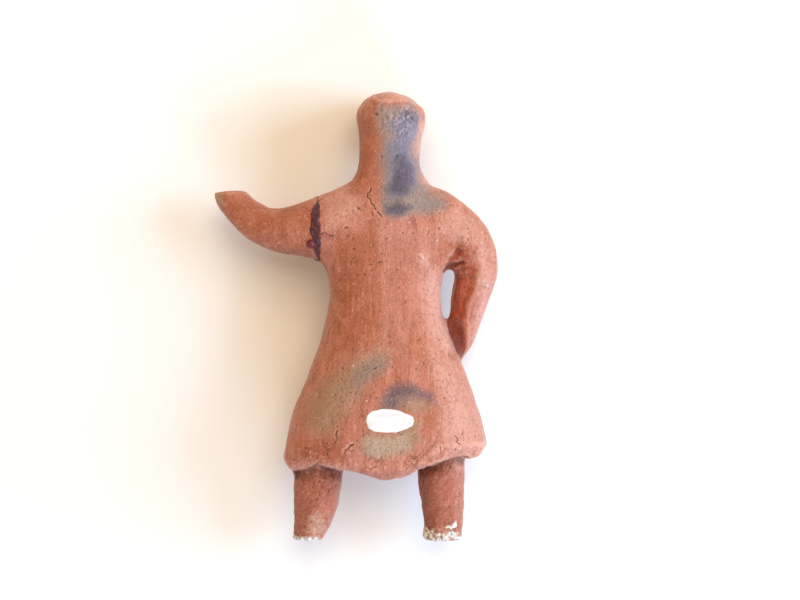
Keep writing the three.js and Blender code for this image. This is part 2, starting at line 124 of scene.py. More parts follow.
HASH_PRIMES = (73856093, 19349663, 83492791)
NOISE_TABLE_SIZE = 4096


def lattice_noise(points, cell, seed):
    """Smooth random values from -1 to 1. cell is the size of a lump, one number or one for each axis."""
    table = np.random.default_rng(seed).uniform(-1, 1, NOISE_TABLE_SIZE)
    scaled = points / np.broadcast_to(cell, 3)
    base = np.floor(scaled).astype(np.int64)
    part = scaled - base
    part = part * part * (3 - 2 * part)
    total = np.zeros(len(points))
    for corner in itertools.product((0, 1), repeat=3):
        at = base + corner
        number = np.bitwise_xor.reduce(at * HASH_PRIMES, axis=1) % NOISE_TABLE_SIZE
        total += np.prod(np.where(corner, part, 1 - part), axis=1) * table[number]
    return total


def layered_noise(points, cell, seed, layers=3):
    """Noise with finer and weaker noise added to it."""
    cell = np.broadcast_to(cell, 3)
    return sum(lattice_noise(points, cell / 2**i, seed + i) / 2**i for i in range(layers))


def line_distance(pixels, line):
    """Each pixel's distance to a line through the given points."""
    nearest = np.full(len(pixels), np.inf)
    for start, end in zip(line[:-1], line[1:]):
        start, end = np.array(start, float), np.array(end, float)
        along = (pixels - start) @ (end - start) / ((end - start) @ (end - start))
        foot = start + np.clip(along, 0, 1)[:, None] * (end - start)
        nearest = np.minimum(nearest, np.linalg.norm(pixels - foot, axis=1))
    return nearest


def side_of_line(pixels, line):
    """Above zero on the right of a line that runs down the photograph, in pixels across."""
    columns, rows = zip(*line)
    return pixels[:, 0] - np.interp(pixels[:, 1], rows, columns)


def depth_within(pixels, outline):
    """Each pixel's distance to an outline, above zero inside it."""
    within = np.zeros(len(pixels), bool)
    for start, end in zip(outline, outline[1:] + outline[:1]):
        if start[1] != end[1]:
            crosses = (start[1] > pixels[:, 1]) != (end[1] > pixels[:, 1])
            across = (end[0] - start[0]) / (end[1] - start[1])
            within ^= crosses & (pixels[:, 0] < start[0] + (pixels[:, 1] - start[1]) * across)
    away = line_distance(pixels, [*outline, outline[0]])
    return np.where(within, away, -away)


# The mended break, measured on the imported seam: where it runs round the arm, and the clay beside it.
seam_low, seam_high = (np.array(corner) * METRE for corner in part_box("glue_seam"))
SEAM_MIDDLE = (seam_low[1:] + seam_high[1:]) / 2
SEAM_STEPS = 180
SEAM_REACH = 1.3
SEAM_BLUR_ANGLE = 0.12
FILLER_DEPTH = 2.0
seam_angles = np.linspace(0, 2 * math.pi, SEAM_STEPS, endpoint=False)


def mesh_points(mesh):
    """A mesh's vertices as rows of millimetres."""
    points = np.zeros(len(mesh.vertices) * 3)
    mesh.vertices.foreach_get("co", points)
    return points.reshape(-1, 3) * METRE


def mesh_faces(mesh):
    return [tuple(face.vertices) for face in mesh.polygons]


def surface_tree(mesh):
    """The mesh's faces, ready to be hit by rays in millimetres."""
    return BVHTree.FromPolygons([Vector(point) for point in mesh_points(mesh)], mesh_faces(mesh))


def seam_line():
    """The seam's place along the arm at each of seam_angles."""
    points = mesh_points(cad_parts["glue_seam"].data)
    angles = np.arctan2(points[:, 2] - SEAM_MIDDLE[1], points[:, 1] - SEAM_MIDDLE[0])
    apart = np.angle(np.exp(1j * (seam_angles[:, None] - angles[None, :])))
    weights = bell(apart, SEAM_BLUR_ANGLE)
    return weights @ points[:, 0] / weights.sum(1)


seam_x = seam_line()


def seam_surface():
    """The clay's radius from the seam's axis just before and just after the seam, at each angle."""
    tree = surface_tree(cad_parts["figure"].data)
    radii = np.zeros((2, SEAM_STEPS))
    for side, offset in enumerate((-SEAM_REACH, SEAM_REACH)):
        for i, angle in enumerate(seam_angles):
            start = Vector((seam_x[i] + offset, *SEAM_MIDDLE))
            hit = tree.ray_cast(start, Vector((0, math.cos(angle), math.sin(angle))))
            radii[side, i] = hit[3]
    return radii


seam_radii = seam_surface()


def ring_mesh(profile_at):
    """Points and faces of a ring round the seam. profile_at gives a step's (along, radius) points."""
    rings = [profile_at(i) for i in range(SEAM_STEPS)]
    count = len(rings[0])
    points = []
    for i, ring in enumerate(rings):
        for along, radius in ring:
            y = SEAM_MIDDLE[0] + radius * math.cos(seam_angles[i])
            z = SEAM_MIDDLE[1] + radius * math.sin(seam_angles[i])
            points.append((seam_x[i] + along, y, z))
    faces = []
    for i, j in itertools.product(range(SEAM_STEPS), range(count)):
        after, beside = (i + 1) % SEAM_STEPS, (j + 1) % count
        faces.append((i * count + j, i * count + beside, after * count + beside, after * count + j))
    return np.array(points), faces


def groove_filler():
    """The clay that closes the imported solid's groove, flush with the surface on both sides."""

    def profile_at(i):
        before, after = seam_radii[:, i]
        return [
            (-SEAM_REACH, before),
            (SEAM_REACH, after),
            (SEAM_REACH, after - FILLER_DEPTH),
            (-SEAM_REACH, before - FILLER_DEPTH),
        ]

    return ring_mesh(profile_at)


def new_mesh(name, points, faces):
    mesh = bpy.data.meshes.new(name)
    mesh.from_pydata((np.asarray(points) / METRE).tolist(), [], faces)
    mesh.validate()
    mesh.update()
    return mesh


def joined(name, points, faces, more_points, more_faces):
    """One mesh of two sets of points and faces."""
    moved = [tuple(vertex + len(points) for vertex in face) for face in more_faces]
    return new_mesh(name, np.vstack([points, more_points]), faces + moved)


def add_object(name, data):
    thing = bpy.data.objects.new(name, data)
    bpy.context.scene.collection.objects.link(thing)
    return thing


def modified(mesh, kind, **settings):
    """What a modifier of the given kind makes of the mesh."""
    helper = add_object("helper", mesh)
    modifier = helper.modifiers.new("modifier", kind)
    for name, value in settings.items():
        setattr(modifier, name, value)
    evaluated = helper.evaluated_get(bpy.context.evaluated_depsgraph_get())
    result = bpy.data.meshes.new_from_object(evaluated)
    bpy.data.objects.remove(helper)
    return result


def remeshed(mesh, voxel):
    """A dense even mesh round everything in the given one."""
    return modified(mesh, "REMESH", mode="VOXEL", voxel_size=voxel / METRE)


def refined(mesh, chosen):
    """The mesh with each edge cut in two that lies between two chosen vertices."""
    work = bmesh.new()
    work.from_mesh(mesh)
    edges = [edge for edge in work.edges if all(chosen[vertex.index] for vertex in edge.verts)]
    bmesh.ops.subdivide_edges(work, edges=edges, cuts=1, use_grid_fill=True)
    work.to_mesh(mesh)
    work.free()
    return mesh


class Surface:
    """A dense mesh whose vertices are moved as rows of millimetres."""

    def __init__(self, mesh):
        self.mesh = mesh
        self.points = mesh_points(mesh)
        edges = np.zeros(len(mesh.edges) * 2, np.int64)
        mesh.edges.foreach_get("vertices", edges)
        self.edges = edges.reshape(-1, 2)
        self.links = np.bincount(edges, minlength=len(self.points))

    def store(self):
        self.mesh.vertices.foreach_set("co", (self.points / METRE).ravel())
        self.mesh.update()

    def normals(self):
        self.store()
        normals = np.zeros(len(self.points) * 3, np.float32)
        self.mesh.vertex_normals.foreach_get("vector", normals)
        return normals.reshape(-1, 3).astype(float)

    def average(self, values):
        """Each vertex's mean of its neighbours' values."""
        first, second = self.edges.T
        total = np.zeros_like(values)
        for column in range(values.shape[1]):
            total[:, column] = np.bincount(first, values[second, column], len(values))
            total[:, column] += np.bincount(second, values[first, column], len(values))
        return total / self.links[:, None]

    def draw_together(self, share):
        """Moves each vertex towards the middle of its neighbours by its share of the way."""
        self.points += share[:, None] * (self.average(self.points) - self.points)

    def smooth(self, rounds):
        """Takes out the facets without shrinking the form, and leaves the flats and the wrist as they are."""
        from_wrist = self.points[:, 0] - figure_low[0]
        free = smooth_step(self.above_flats(), 0.1, 1.2) * smooth_step(from_wrist, 0.5, 7.0)
        for _ in range(rounds):
            for share in SMOOTH_SHARES:
                self.draw_together(share * free)

    def relax(self, share, rounds):
        """Evens the surface out where share is near 1."""
        for _ in range(rounds):
            self.draw_together(RELAX_SHARE * share)

    def above_flats(self):
        """The distance from the flat that the figure lies on or from the legs' flat ends."""
        return np.minimum(self.points[:, 2] - figure_low[2], self.points[:, 1] - figure_low[1])

    def push(self, amount):
        """Moves each vertex outwards by its amount."""
        self.points += amount[:, None] * self.normals()

    def hollows(self, rounds):
        """How far each vertex lies below the surface round it. rounds sets how wide that is."""
        settled = self.points
        for _ in range(rounds):
            settled = self.average(settled)
        return np.sum((settled - self.points) * self.normals(), axis=1)


# Marks that show in the photograph, in its pixels. A crack or a crease has the points down its length, its
# width and, in millimetres, its depth.
CRACKS = [
    ([(370.5, 188), (369.5, 191), (367, 193), (367.5, 197), (370, 199)], 0.5, 0.4),
    ([(370, 199), (371, 203), (374, 206), (375, 209)], 0.5, 0.4),
    ([(357.8, 207.4), (359.2, 208.6)], 1.0, 0.45),
    ([(376, 113.6), (377, 114.4)], 0.9, 0.35),
    ([(377, 212), (379, 213.5), (381.5, 216)], 0.6, 0.35),
    ([(371.5, 213), (373, 215.5)], 0.5, 0.25),
    ([(366, 203), (361, 207)], 0.35, 0.12),
    ([(337.5, 430), (335.8, 434), (336.8, 438), (335.2, 443)], 0.5, 0.35),
    ([(353.5, 444), (350, 446), (348, 449), (345, 450.5)], 0.5, 0.4),
    ([(454.5, 436), (457.5, 439), (456, 442), (459.5, 444.5)], 0.45, 0.3),
    ([(439.5, 447), (440.5, 451), (440, 455.5)], 0.4, 0.25),
    ([(303, 441), (313, 440.5), (325, 439)], 0.35, 0.1),
    ([(320, 234.5), (324, 232.5), (328, 234), (333, 236)], 0.8, 0.2),
    ([(316, 204), (320, 199.5), (325, 196)], 0.4, 0.25),
    ([(331.5, 366), (334, 362.5), (337, 360)], 0.5, 0.15),
    ([(357, 374), (364, 370), (371, 367.5)], 0.4, 0.1),
    ([(359, 376), (366, 374), (372.5, 369.5)], 0.35, 0.08),
    ([(341.5, 379), (344.5, 384)], 0.45, 0.12),
    ([(355, 352), (359, 350)], 0.45, 0.12),
    ([(464, 246), (466, 242.5), (468.5, 238)], 0.4, 0.14),
    ([(457, 256), (460, 252), (464, 250)], 0.5, 0.16),
    ([(467, 258), (470, 252)], 0.45, 0.14),
    ([(427, 235), (429.5, 231)], 0.5, 0.25),
    ([(427, 443), (424, 449), (419, 455), (415, 459)], 0.5, 0.15),
]
CREASES = [
    ([(446, 271), (451, 267.5), (456, 265), (462, 263)], 2.4, 0.75),
    ([(449, 266), (453, 258), (458, 251)], 2.6, 0.45),
    ([(460, 270), (468, 268), (475, 271)], 2.4, 0.25),
    ([(438.5, 433), (436, 441), (430, 448), (423, 455), (417, 461), (414, 466)], 2.4, 0.17),
    ([(346, 450), (343, 456), (342, 464)], 1.8, 0.12),
    ([(322, 442), (326, 449), (328, 458)], 2.4, 0.15),
]
# What is raised: the crown's rim, the rolled hem, and the valley beside the hand, which the tunic's edge
# covers. Each has the points down its length, its width, and its height in millimetres.
RIDGES = [
    ([(373, 98), (378, 101), (386, 101.5), (397, 101), (408, 100.5), (414, 104)], 1.5, 0.25),
    ([(432, 452), (443, 446), (456, 443), (468, 444), (480, 444)], 4.5, 0.35),
    ([(447.5, 331), (449.5, 338), (452, 347), (456, 355), (459.5, 360)], 3.2, 0.45),
]
# The tunic's edge over each leg and over the bent forearm, and the rest of the outline of what lies below it.
TUNIC_EDGES = [
    (
        [
            (289, 471), (297, 470.5), (305, 469.5), (312, 467), (317, 462.5), (322, 466), (332, 469.5),
            (344, 471.5),
        ],
        [(346, 490), (288, 490)],
    ),
    (
        [(416, 468), (424, 466.5), (432, 466.5), (443, 462), (454, 457.5), (468, 456)],
        [(470, 480), (414, 490)],
    ),
    (
        [(463, 361), (458.5, 349), (454.5, 339), (450.5, 331), (448.5, 327)],
        [(445, 296), (480, 296), (486, 330), (472, 366)],
    ),
]
# How deep the step at these edges is, and how many pixels the step and its shade reach.
EDGE_STEP = 1.0
EDGE_REACH = 13
EDGE_SHADE_WIDTH = 3.2
# The lower end of the gap beside the bent arm. The clay round it is drawn down, in rows counted from its tip.
GAP_END = [(441.2, 296), (441.6, 308), (444.4, 320), (446.6, 326), (448.4, 319), (450.6, 308), (451.2, 296)]
GAP_CUTTER_HEIGHTS = (-5.0, 45.0)
GAP_TIP = (446.3, 314.0)
GAP_REACH = 1.5
GAP_ROWS = (-18, -1, 1, 34)
GAP_WIDTH_PX = 6
# The bent forearm, which slopes down from its ridge to the body, and the steep side of the hand.
FOREARM_RIDGE = [(480, 272), (476, 291), (469, 307), (467, 323), (469, 339), (466.5, 352)]
FOREARM_ROWS = (268, 280, 352, 364)
FOREARM_COLUMNS = (446, 452)
FOREARM_RIDGE_HEIGHT = 0.12
FOREARM_DROP = 0.9
HAND_SIDE = ([(446, 313), (447.5, 323), (451, 338), (456, 350), (460, 358)], 6)
HAND_SIDE_ROUNDS = 30
# The parts of the figure whose clay is rougher or differently worn. A line has its width beside it.
LEG_ROWS = (466, 474)
HEM_ROWS = (440, 455, *LEG_ROWS)
DRESS_ROWS = (215, 235, *LEG_ROWS)
ARMPIT = ([(452, 268), (462, 258), (470, 248)], 11)
SHOULDERS = ([(340, 205), (430, 215), (470, 235), (490, 280)], 16)
STUMP_COLUMNS = (246, 252)
# How deep or high the smallest marks are.
WRINKLE_DEPTH = 0.17
PIT_DEPTH = 0.16
GRIT_HEIGHT = 0.09
SPECKLE_HEIGHT = 0.08
CRUMB_HEIGHT = 0.12
PAINT_HEIGHT = 0.06
STUMP_ROUGHNESS = 0.1
# How far cracks and stains' edges wander, in pixels, and over how many rounds hollows are measured.
CRACK_WANDER = 0.45
STAIN_RAGGEDNESS = 3.0
HOLLOW_ROUNDS = 5
# The outline of the white patch, and how soft its edge is.
PATCH = [
    (366, 421), (367.2, 415.5), (371.5, 411.2), (380, 409.6), (392, 409.4), (401, 411.4), (408, 414.4),
    (413, 417.2), (414.2, 421), (412.4, 425.8), (405, 429), (396, 432.2), (385, 432.6), (374, 431.4),
    (368, 428.4),
]
PATCH_SOFTNESS = 0.4
# The outlines of an old base's plaster on the legs' ends, and where it is thickest.
PLASTER = [
    [(290, 545), (290, 534), (297, 533), (304, 537.5), (318, 538), (330, 539), (330, 545)],
    [
        (417, 545), (418, 527), (424, 524), (430, 531), (440, 534), (447, 532), (456, 531), (460, 536),
        (466, 545),
    ],
    [(446, 527), (451, 524), (457, 520.5), (456, 526), (451, 528.5)],
]
PLASTER_LUMP = ([(419, 523), (421, 534)], 3.5)
PLASTER_LUMP_HEIGHT = 0.55
# Bits of white that cling to the clay, with their radius in pixels.
CRUMBS = [
    (487.4, 286.0, 1.3), (483.0, 282.0, 0.9), (366.8, 400.8, 0.7), (353.3, 365.8, 0.6), (420.0, 254.5, 0.8),
    (422.5, 257.5, 0.6), (414.0, 462.5, 0.6), (459.5, 448.0, 0.6), (391.5, 401.0, 0.6), (437.0, 240.5, 0.6),
]

# The face, which the figure lies on. Its marks are measured in millimetres from the tip of the nose, which
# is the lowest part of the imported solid's head.
HEAD_LENGTH = 20.0
NOSE_SLICE = 0.3
solid_points = mesh_points(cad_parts["figure"].data)
lowest = solid_points[:, 2] < NOSE_SLICE
on_head = solid_points[:, 1] > figure_high[1] - HEAD_LENGTH
NOSE_TIP = solid_points[lowest & on_head, :2].mean(axis=0)
FACE_LENGTH = 17.0
FACE_EDGE = 2.0
MOUTH = [(-2.3, -2.5), (-1.1, -2.85), (0, -2.75), (1.1, -2.85), (2.3, -2.5)]
MOUTH_DEPTH = 0.5
MOUTH_WIDTH = 0.32
LIP_HEIGHT = 0.3
LIP_OFFSET = 0.8
LIP_WIDTH = 0.45
EYES = [(-3.4, 3.6), (3.4, 3.6)]
EYE_RADIUS = 1.6
EYE_HEIGHT = 0.35
# The socket's offset and width are shares of the eye's radius.
SOCKET_DEPTH = 0.2
SOCKET_OFFSET = 1.25
SOCKET_WIDTH = 0.18
LID_REACH = 1.15
LID_DEPTH = 0.35
LID_WIDTH = 0.24
LIDS = [[(x - LID_REACH, y + 0.1), (x, y - 0.15), (x + LID_REACH, y + 0.1)] for x, y in EYES]

# The outline of the head's soot, and how far its edge spreads out and in.
SOOT = [
    (381, 108), (390, 105), (405, 105), (416, 107), (420, 117), (418, 128), (415, 140), (414, 152),
    (417, 165), (420, 180), (430, 189), (440, 196), (445, 203), (440, 210), (428, 212), (418, 213),
    (408, 217), (396, 217), (386, 213), (382, 205), (381, 190), (380, 172), (381, 160), (383, 147),
    (381, 132), (378, 118),
]
SOOT_EDGE = (-9, 7)
# The areas of the other stains and of painted shade and light, each an outline and how far its edge spreads
# both ways.
DEEP_SOOT = [
    ([(398, 157), (407, 156), (411, 168), (411, 184), (407, 193), (392, 194), (385, 191), (392, 178)], 7),
    ([(386, 205), (398, 203), (411, 207), (409, 214), (396, 215), (387, 212)], 5.5),
    ([(408, 108), (417, 109), (419, 119), (414, 126), (408, 118)], 4),
]
BLUE_SOOT = [
    ([(390, 118), (404, 113), (417, 116), (416, 135), (413, 150), (415, 168), (417, 186), (400, 200),
      (386, 200), (389, 160), (392, 135)], 7),
]
SPECKLED = [([(384, 112), (404, 108), (416, 112), (417, 126), (411, 136), (396, 134), (384, 128)], 6)]
TAN_CLOUD = [
    ([(374, 351), (386, 351), (387, 361), (379, 372), (366, 386), (357, 400), (346, 412), (336, 425),
      (327, 435), (315, 433), (308, 423), (307, 410), (312, 397), (322, 383), (336, 372), (352, 362)], 14),
    ([(213, 190), (222, 188), (224.5, 200), (221, 207), (213, 203)], 3),
    ([(366, 430), (390, 435), (405, 428), (414, 419), (421, 424), (420, 437), (413, 449), (403, 456),
      (386, 459), (371, 456), (361, 447)], 7),
    ([(380, 402), (388, 394), (412, 392), (425, 399), (430, 411), (418, 414), (400, 408), (382, 410)], 8),
]
PALE_LOBE = [([(364, 436), (390, 438), (408, 434), (411, 446), (401, 454), (385, 457), (370, 453)], 6)]
DARK_ARCH = [
    ([(383, 397), (388, 390), (396, 385.5), (408, 384.5), (419, 387), (430, 393), (437, 404),
      (427, 401), (416, 398), (406, 401), (396, 409), (380, 409)], 8),
]
# Painted shade on the bent arm's inner forearm and in its armpit, which turn away from the light.
BENT_ARM_SHADE = [
    ([(452, 278), (468, 272), (475, 290), (471, 305), (469, 322), (470, 338), (466, 360), (446, 322)], 4),
    ([(446, 272), (449, 263), (455, 253), (462, 248), (468, 254), (470, 264), (477, 275), (462, 277)], 3.5),
]
# Painted shade on the sides that face away from the light (the right leg's left side, the stretched arm's
# underside and the bent arm's armpit), with its strength.
SIDE_SHADE = 0.38
SHADED_SIDES = [
    ([(413, 472), (426, 470), (431, 500), (433, 526), (420, 530), (415, 500)], 6),
    ([(228, 224), (250, 240), (275, 248), (314, 250), (318, 266), (285, 266), (250, 258), (226, 240)], 7),
    ([(445, 272), (449, 262), (455, 252), (462, 247), (469, 254), (471, 264), (473, 273), (461, 277)], 4),
]
ASHEN = [([(350, 384), (362, 368), (376, 357), (389, 358), (386, 372), (370, 382), (358, 392)], 7)]
# Ruddy orange, partly the clay's own colour and partly painted warm light on the sides that face left: the
# torso's left half, the stretched arm, the head's left side, the inner forearm, and on the legs.
RUDDY_AND_WARM_LIGHT = [
    ([(338, 236), (368, 230), (376, 250), (379, 300), (376, 345), (342, 352), (334, 332), (339, 290)], 8),
    ([(290, 440), (330, 442), (345, 462), (320, 462), (290, 464)], 8),
    ([(447, 262), (456, 246), (468, 246), (478, 262), (476, 290), (470, 307), (468, 323), (469, 339),
      (467, 358), (455, 360), (446, 330), (447, 290)], 4),
    ([(205, 185), (262, 196), (310, 192), (314, 262), (262, 256), (205, 220)], 7),
    ([(355, 92), (378, 101), (375, 150), (374, 178), (352, 192), (354, 150)], 6),
    ([(288, 468), (345, 470), (334, 520), (322, 528), (288, 532)], 8),
    ([(412, 462), (452, 462), (456, 525), (434, 532), (414, 528)], 9),
]
RED_SPOTS = [
    ([(411, 217), (417, 217), (416, 228), (412, 230)], 2.5),
    ([(323, 232), (333, 235), (332, 240), (323, 240)], 3),
    ([(306, 241), (315, 240), (316, 248), (307, 248)], 2.5),
]
# Pale patches, partly pale wear and partly painted highlight on the sides that face the light from the right,
# on the tops of the shoulders and on the crown's top.
PALE_AND_HIGHLIGHT = [
    ([(452, 205), (478, 222), (488, 250), (490, 282), (483, 312), (475, 345), (474, 322), (480, 298),
      (483, 268), (470, 236)], 7),
    ([(432, 350), (455, 372), (478, 425), (484, 445), (460, 452), (440, 440), (440, 400)], 14),
    ([(419, 254), (424, 250), (428, 257), (425, 264), (420, 262)], 3),
    ([(427, 266), (440, 277), (440, 305), (446, 325), (455, 348), (442, 350), (427, 330), (422, 290)], 8),
    ([(438, 216), (454, 204), (478, 222), (472, 244), (452, 240), (440, 232)], 8),
    ([(324, 195), (345, 186), (362, 200), (350, 222), (330, 228)], 8),
    ([(372, 98), (378, 93), (395, 91), (412, 95), (420, 103), (408, 100), (395, 100), (380, 100)], 1.6),
    ([(419, 122), (426, 120), (427, 150), (424, 172), (434, 188), (424, 184), (417, 165), (415, 142)], 4),
]
DUST = [
    ([(311, 514), (322, 512), (326, 530), (318, 538), (309, 533)], 5),
    ([(424, 532), (455, 530), (460, 541), (424, 541)], 4),
]
# The stains with ragged edges, some partly painted light, by the names that the clay's material reads them
# by.
RAGGED_STAINS = {
    "deep_soot": DEEP_SOOT,
    "blue_soot": BLUE_SOOT,
    "speckled": SPECKLED,
    "tan_cloud": TAN_CLOUD,
    "pale_lobe": PALE_LOBE,
    "dark_arch": DARK_ARCH,
    "ashen": ASHEN,
    "ruddy_and_warm_light": RUDDY_AND_WARM_LIGHT,
    "red": RED_SPOTS,
    "pale_and_highlight": PALE_AND_HIGHLIGHT,
    "dust": DUST,
}


def stained(pixels, areas):
    """How much of a stain each point has, from its areas' outlines and the softness of their edges."""
    stain = np.zeros(len(pixels))
    for outline, spread in areas:
        stain = np.maximum(stain, smooth_step(depth_within(pixels, outline), -spread, spread))
    return stain


def near_line(pixels, line, width):
    """1 on a line, and fading beside it."""
    return bell(line_distance(pixels, line), width)


def near_marks(pixels):
    """True where a mark is finer than the mesh."""
    lines = [line for line, *_ in CRACKS + CREASES + TUNIC_EDGES] + [[*PATCH, PATCH[0]]]
    nearest = np.min([line_distance(pixels, line) for line in lines], axis=0)
    return nearest < MARK_REACH_PX


def on_face(surface):
    """1 on the face and 0 elsewhere, soft between them."""
    below = smooth_step(-surface.normals()[:, 2], 0.05, 0.35)
    chin = figure_high[1] - FACE_LENGTH
    return below * smooth_step(surface.points[:, 1], chin, chin + FACE_EDGE)


def dense_clay(mesh):
    """The clay's smooth mesh, twice as fine in the photograph and on the face, and finer again at marks."""
    first_rounds, seen_rounds, marked_rounds = SMOOTH_ROUNDS
    surface = Surface(mesh)
    surface.smooth(first_rounds)
    seen = surface.normals()[:, 2] > SEEN_FACING
    surface = Surface(refined(mesh, seen | (on_face(surface) > 0)))
    surface.smooth(seen_rounds)
    seen = surface.normals()[:, 2] > MARKED_FACING
    marked = near_marks(to_pixels(surface.points)) & seen
    from_nose = surface.points[:, :2] - NOSE_TIP
    to_face_marks = np.min([line_distance(from_nose, line) for line in [MOUTH, *LIDS]], axis=0)
    marked |= (to_face_marks < FACE_MARK_REACH) & ~seen
    surface = Surface(refined(mesh, marked))
    surface.smooth(marked_rounds)
    return surface


def shift_ends(surface):
    """Gives back what smoothing rounds off the crown and the wrist, and runs the arm's gap farther down."""
    pixels = to_pixels(surface.points)
    surface.points[:, 1] += CROWN_RISE * smooth_step(pixels[:, 1], *CROWN_ROWS)
    surface.points[:, 0] -= WRIST_REACH * smooth_step(pixels[:, 0], *WRIST_COLUMNS)
    beside_tip, past_tip = (pixels - GAP_TIP).T
    around_tip = band(past_tip, *GAP_ROWS) * bell(beside_tip, GAP_WIDTH_PX)
    surface.points[:, 1] -= GAP_REACH * around_tip


def model_face(surface):
    """Presses the mouth into the face, and rounds the pellets of the eyes and parts their lids."""
    from_nose = surface.points[:, :2] - NOSE_TIP
    to_mouth = line_distance(from_nose, MOUTH)
    amount = LIP_HEIGHT * bell(to_mouth - LIP_OFFSET, LIP_WIDTH) - MOUTH_DEPTH * bell(to_mouth, MOUTH_WIDTH)
    for eye, lid in zip(EYES, LIDS):
        away = np.linalg.norm(from_nose - eye, axis=1) / EYE_RADIUS
        amount += EYE_HEIGHT * np.exp(-(away**4)) - SOCKET_DEPTH * bell(away - SOCKET_OFFSET, SOCKET_WIDTH)
        amount -= LID_DEPTH * bell(line_distance(from_nose, lid), LID_WIDTH)
    surface.push(amount * on_face(surface))


class ClayModel:
    """The clay's surface while marks are pressed into it.

    Where each vertex is in the photograph, and what kind of place that is, are worked out once at the start.
    The methods move the surface, and most of them return a stain or a painted shade that goes with the shape.
    """

    def __init__(self, surface):
        self.surface = surface
        self.points = surface.points.copy()
        self.pixels = to_pixels(self.points)
        self.normals = surface.normals()
        self.upward = smooth_step(self.normals[:, 2], -0.1, 0.25)
        self.free = smooth_step(surface.above_flats(), 0.05, 1.0)

        patch_edge = depth_within(self.pixels, PATCH) + 0.5 * self.noise(1.6, 65, layers=1)
        self.patch = smooth_step(patch_edge, -PATCH_SOFTNESS, PATCH_SOFTNESS) * self.upward
        self.bare = 1 - self.patch
        rows = self.pixels[:, 1]
        self.on_legs = smooth_step(rows, *LEG_ROWS)
        self.at_hem = band(rows, *HEM_ROWS)
        self.on_dress = band(rows, *DRESS_ROWS) * smooth_step(self.normals[:, 2], 0.1, 0.5)
        self.at_armpit = near_line(self.pixels, *ARMPIT) * self.upward
        self.at_shoulder = near_line(self.pixels, *SHOULDERS) * self.upward
        self.wander = CRACK_WANDER * self.scatter(0.6, 20, 23)
        self.ragged = STAIN_RAGGEDNESS * self.scatter(2.6, 50, 55)

    def noise(self, cell, draw, layers=3):
        return layered_noise(self.points, cell, SEED + draw, layers)

    def scatter(self, cell, *draws):
        """Noise for each of the photograph's two axes."""
        return np.column_stack([self.noise(cell, draw) for draw in draws])

    def by_area(self, everywhere, legs, hem, armpit, shoulder=0.0):
        """A strength that is higher on the legs, at the hem, in the armpit and over the shoulders."""
        strength = everywhere + legs * self.on_legs + hem * self.at_hem
        return strength + armpit * self.at_armpit + shoulder * self.at_shoulder

    def shape_forearm(self):
        """Slopes the bent forearm down towards the body from a soft ridge along it."""
        ridge = side_of_line(self.pixels, FOREARM_RIDGE)
        on_forearm = band(self.pixels[:, 1], *FOREARM_ROWS)
        on_forearm *= smooth_step(self.pixels[:, 0], *FOREARM_COLUMNS) * self.upward
        lean = FOREARM_RIDGE_HEIGHT * bell(ridge, 4) - FOREARM_DROP * smooth_step(-ridge, -1, 10)
        self.surface.push(lean * on_forearm * self.free)

    def raise_ridges(self):
        """Raises what stands out, and evens out the steep side of the hand."""
        raised = sum(height * near_line(self.pixels, line, width) for line, width, height in RIDGES)
        self.surface.push(raised * self.upward)
        self.surface.relax(near_line(self.pixels, *HAND_SIDE), HAND_SIDE_ROUNDS)

    def step_edges(self):
        """Sinks what lies below the tunic's edges, and returns the painted shade in the corner along them and
        on the shaded sides.
        """
        shade = SIDE_SHADE * stained(self.pixels, SHADED_SIDES)
        for edge, rest in TUNIC_EDGES:
            beyond = depth_within(self.pixels, edge + rest)
            past = line_distance(self.pixels, edge)
            sunk = smooth_step(beyond, -0.7, 1.1) * (1 - smooth_step(past, 2, EDGE_REACH))
            self.surface.push(-EDGE_STEP * sunk * self.upward)
            shade = np.maximum(shade, smooth_step(beyond, -1.0, 0.2) * bell(past, EDGE_SHADE_WIDTH))
        return shade * self.upward

    def handle(self):
        """Makes the surface uneven, as hands and wear leave it, and returns how wrinkled it is."""
        uneven = 0.2 * self.noise(7.5, 0) + 0.05 * self.noise(2.4, 10)
        rough = self.by_area(0.02, legs=0.1, hem=0.05, armpit=0.15)
        uneven += rough * self.noise((1.3, 1.6, 1.3), 15)
        gritty = self.by_area(0.015, legs=0.055, hem=0.03, armpit=0.04, shoulder=0.025)
        uneven += gritty * self.noise(0.62, 18, layers=2) * self.bare
        worn = np.clip(self.by_area(0.25, legs=0.3, hem=0.4, armpit=0.6), 0, 1)
        wrinkled = broken_lines(self.points, (1.5, 2.4, 1.5), SEED + 90) * worn * self.bare
        self.surface.push((uneven - WRINKLE_DEPTH * wrinkled) * self.free)
        return wrinkled

    def press_lines(self):
        """Presses the cracks and the creases in, and returns the painted shade in them."""
        broken = 0.75 + 0.25 * self.noise(1.1, 26, layers=1)
        dark = np.zeros(len(self.points))
        pressed = np.zeros(len(self.points))
        for lines, strength, darkness, dark_depth in ((CRACKS, broken, 1.0, 0.3), (CREASES, 1.0, 0.2, 0.4)):
            for line, width, depth in lines:
                near = near_line(self.pixels + self.wander, line, width) * strength
                pressed += depth * near
                dark = np.maximum(dark, darkness * near * min(1, depth / dark_depth))
        self.surface.push(-pressed * self.upward * self.free)
        return dark * self.upward

    def add_grains(self):
        """Presses pits in and lets grit stand out, and returns where the pits are."""
        pits = smooth_step(self.noise(0.6, 30, layers=1), 0.74, 0.92) * self.bare
        self.surface.push(-PIT_DEPTH * pits * self.free)
        grit = smooth_step(self.noise(0.75, 40, layers=1), 0.6, 0.9) * self.bare
        self.surface.push(GRIT_HEIGHT * grit * self.free)
        return pits

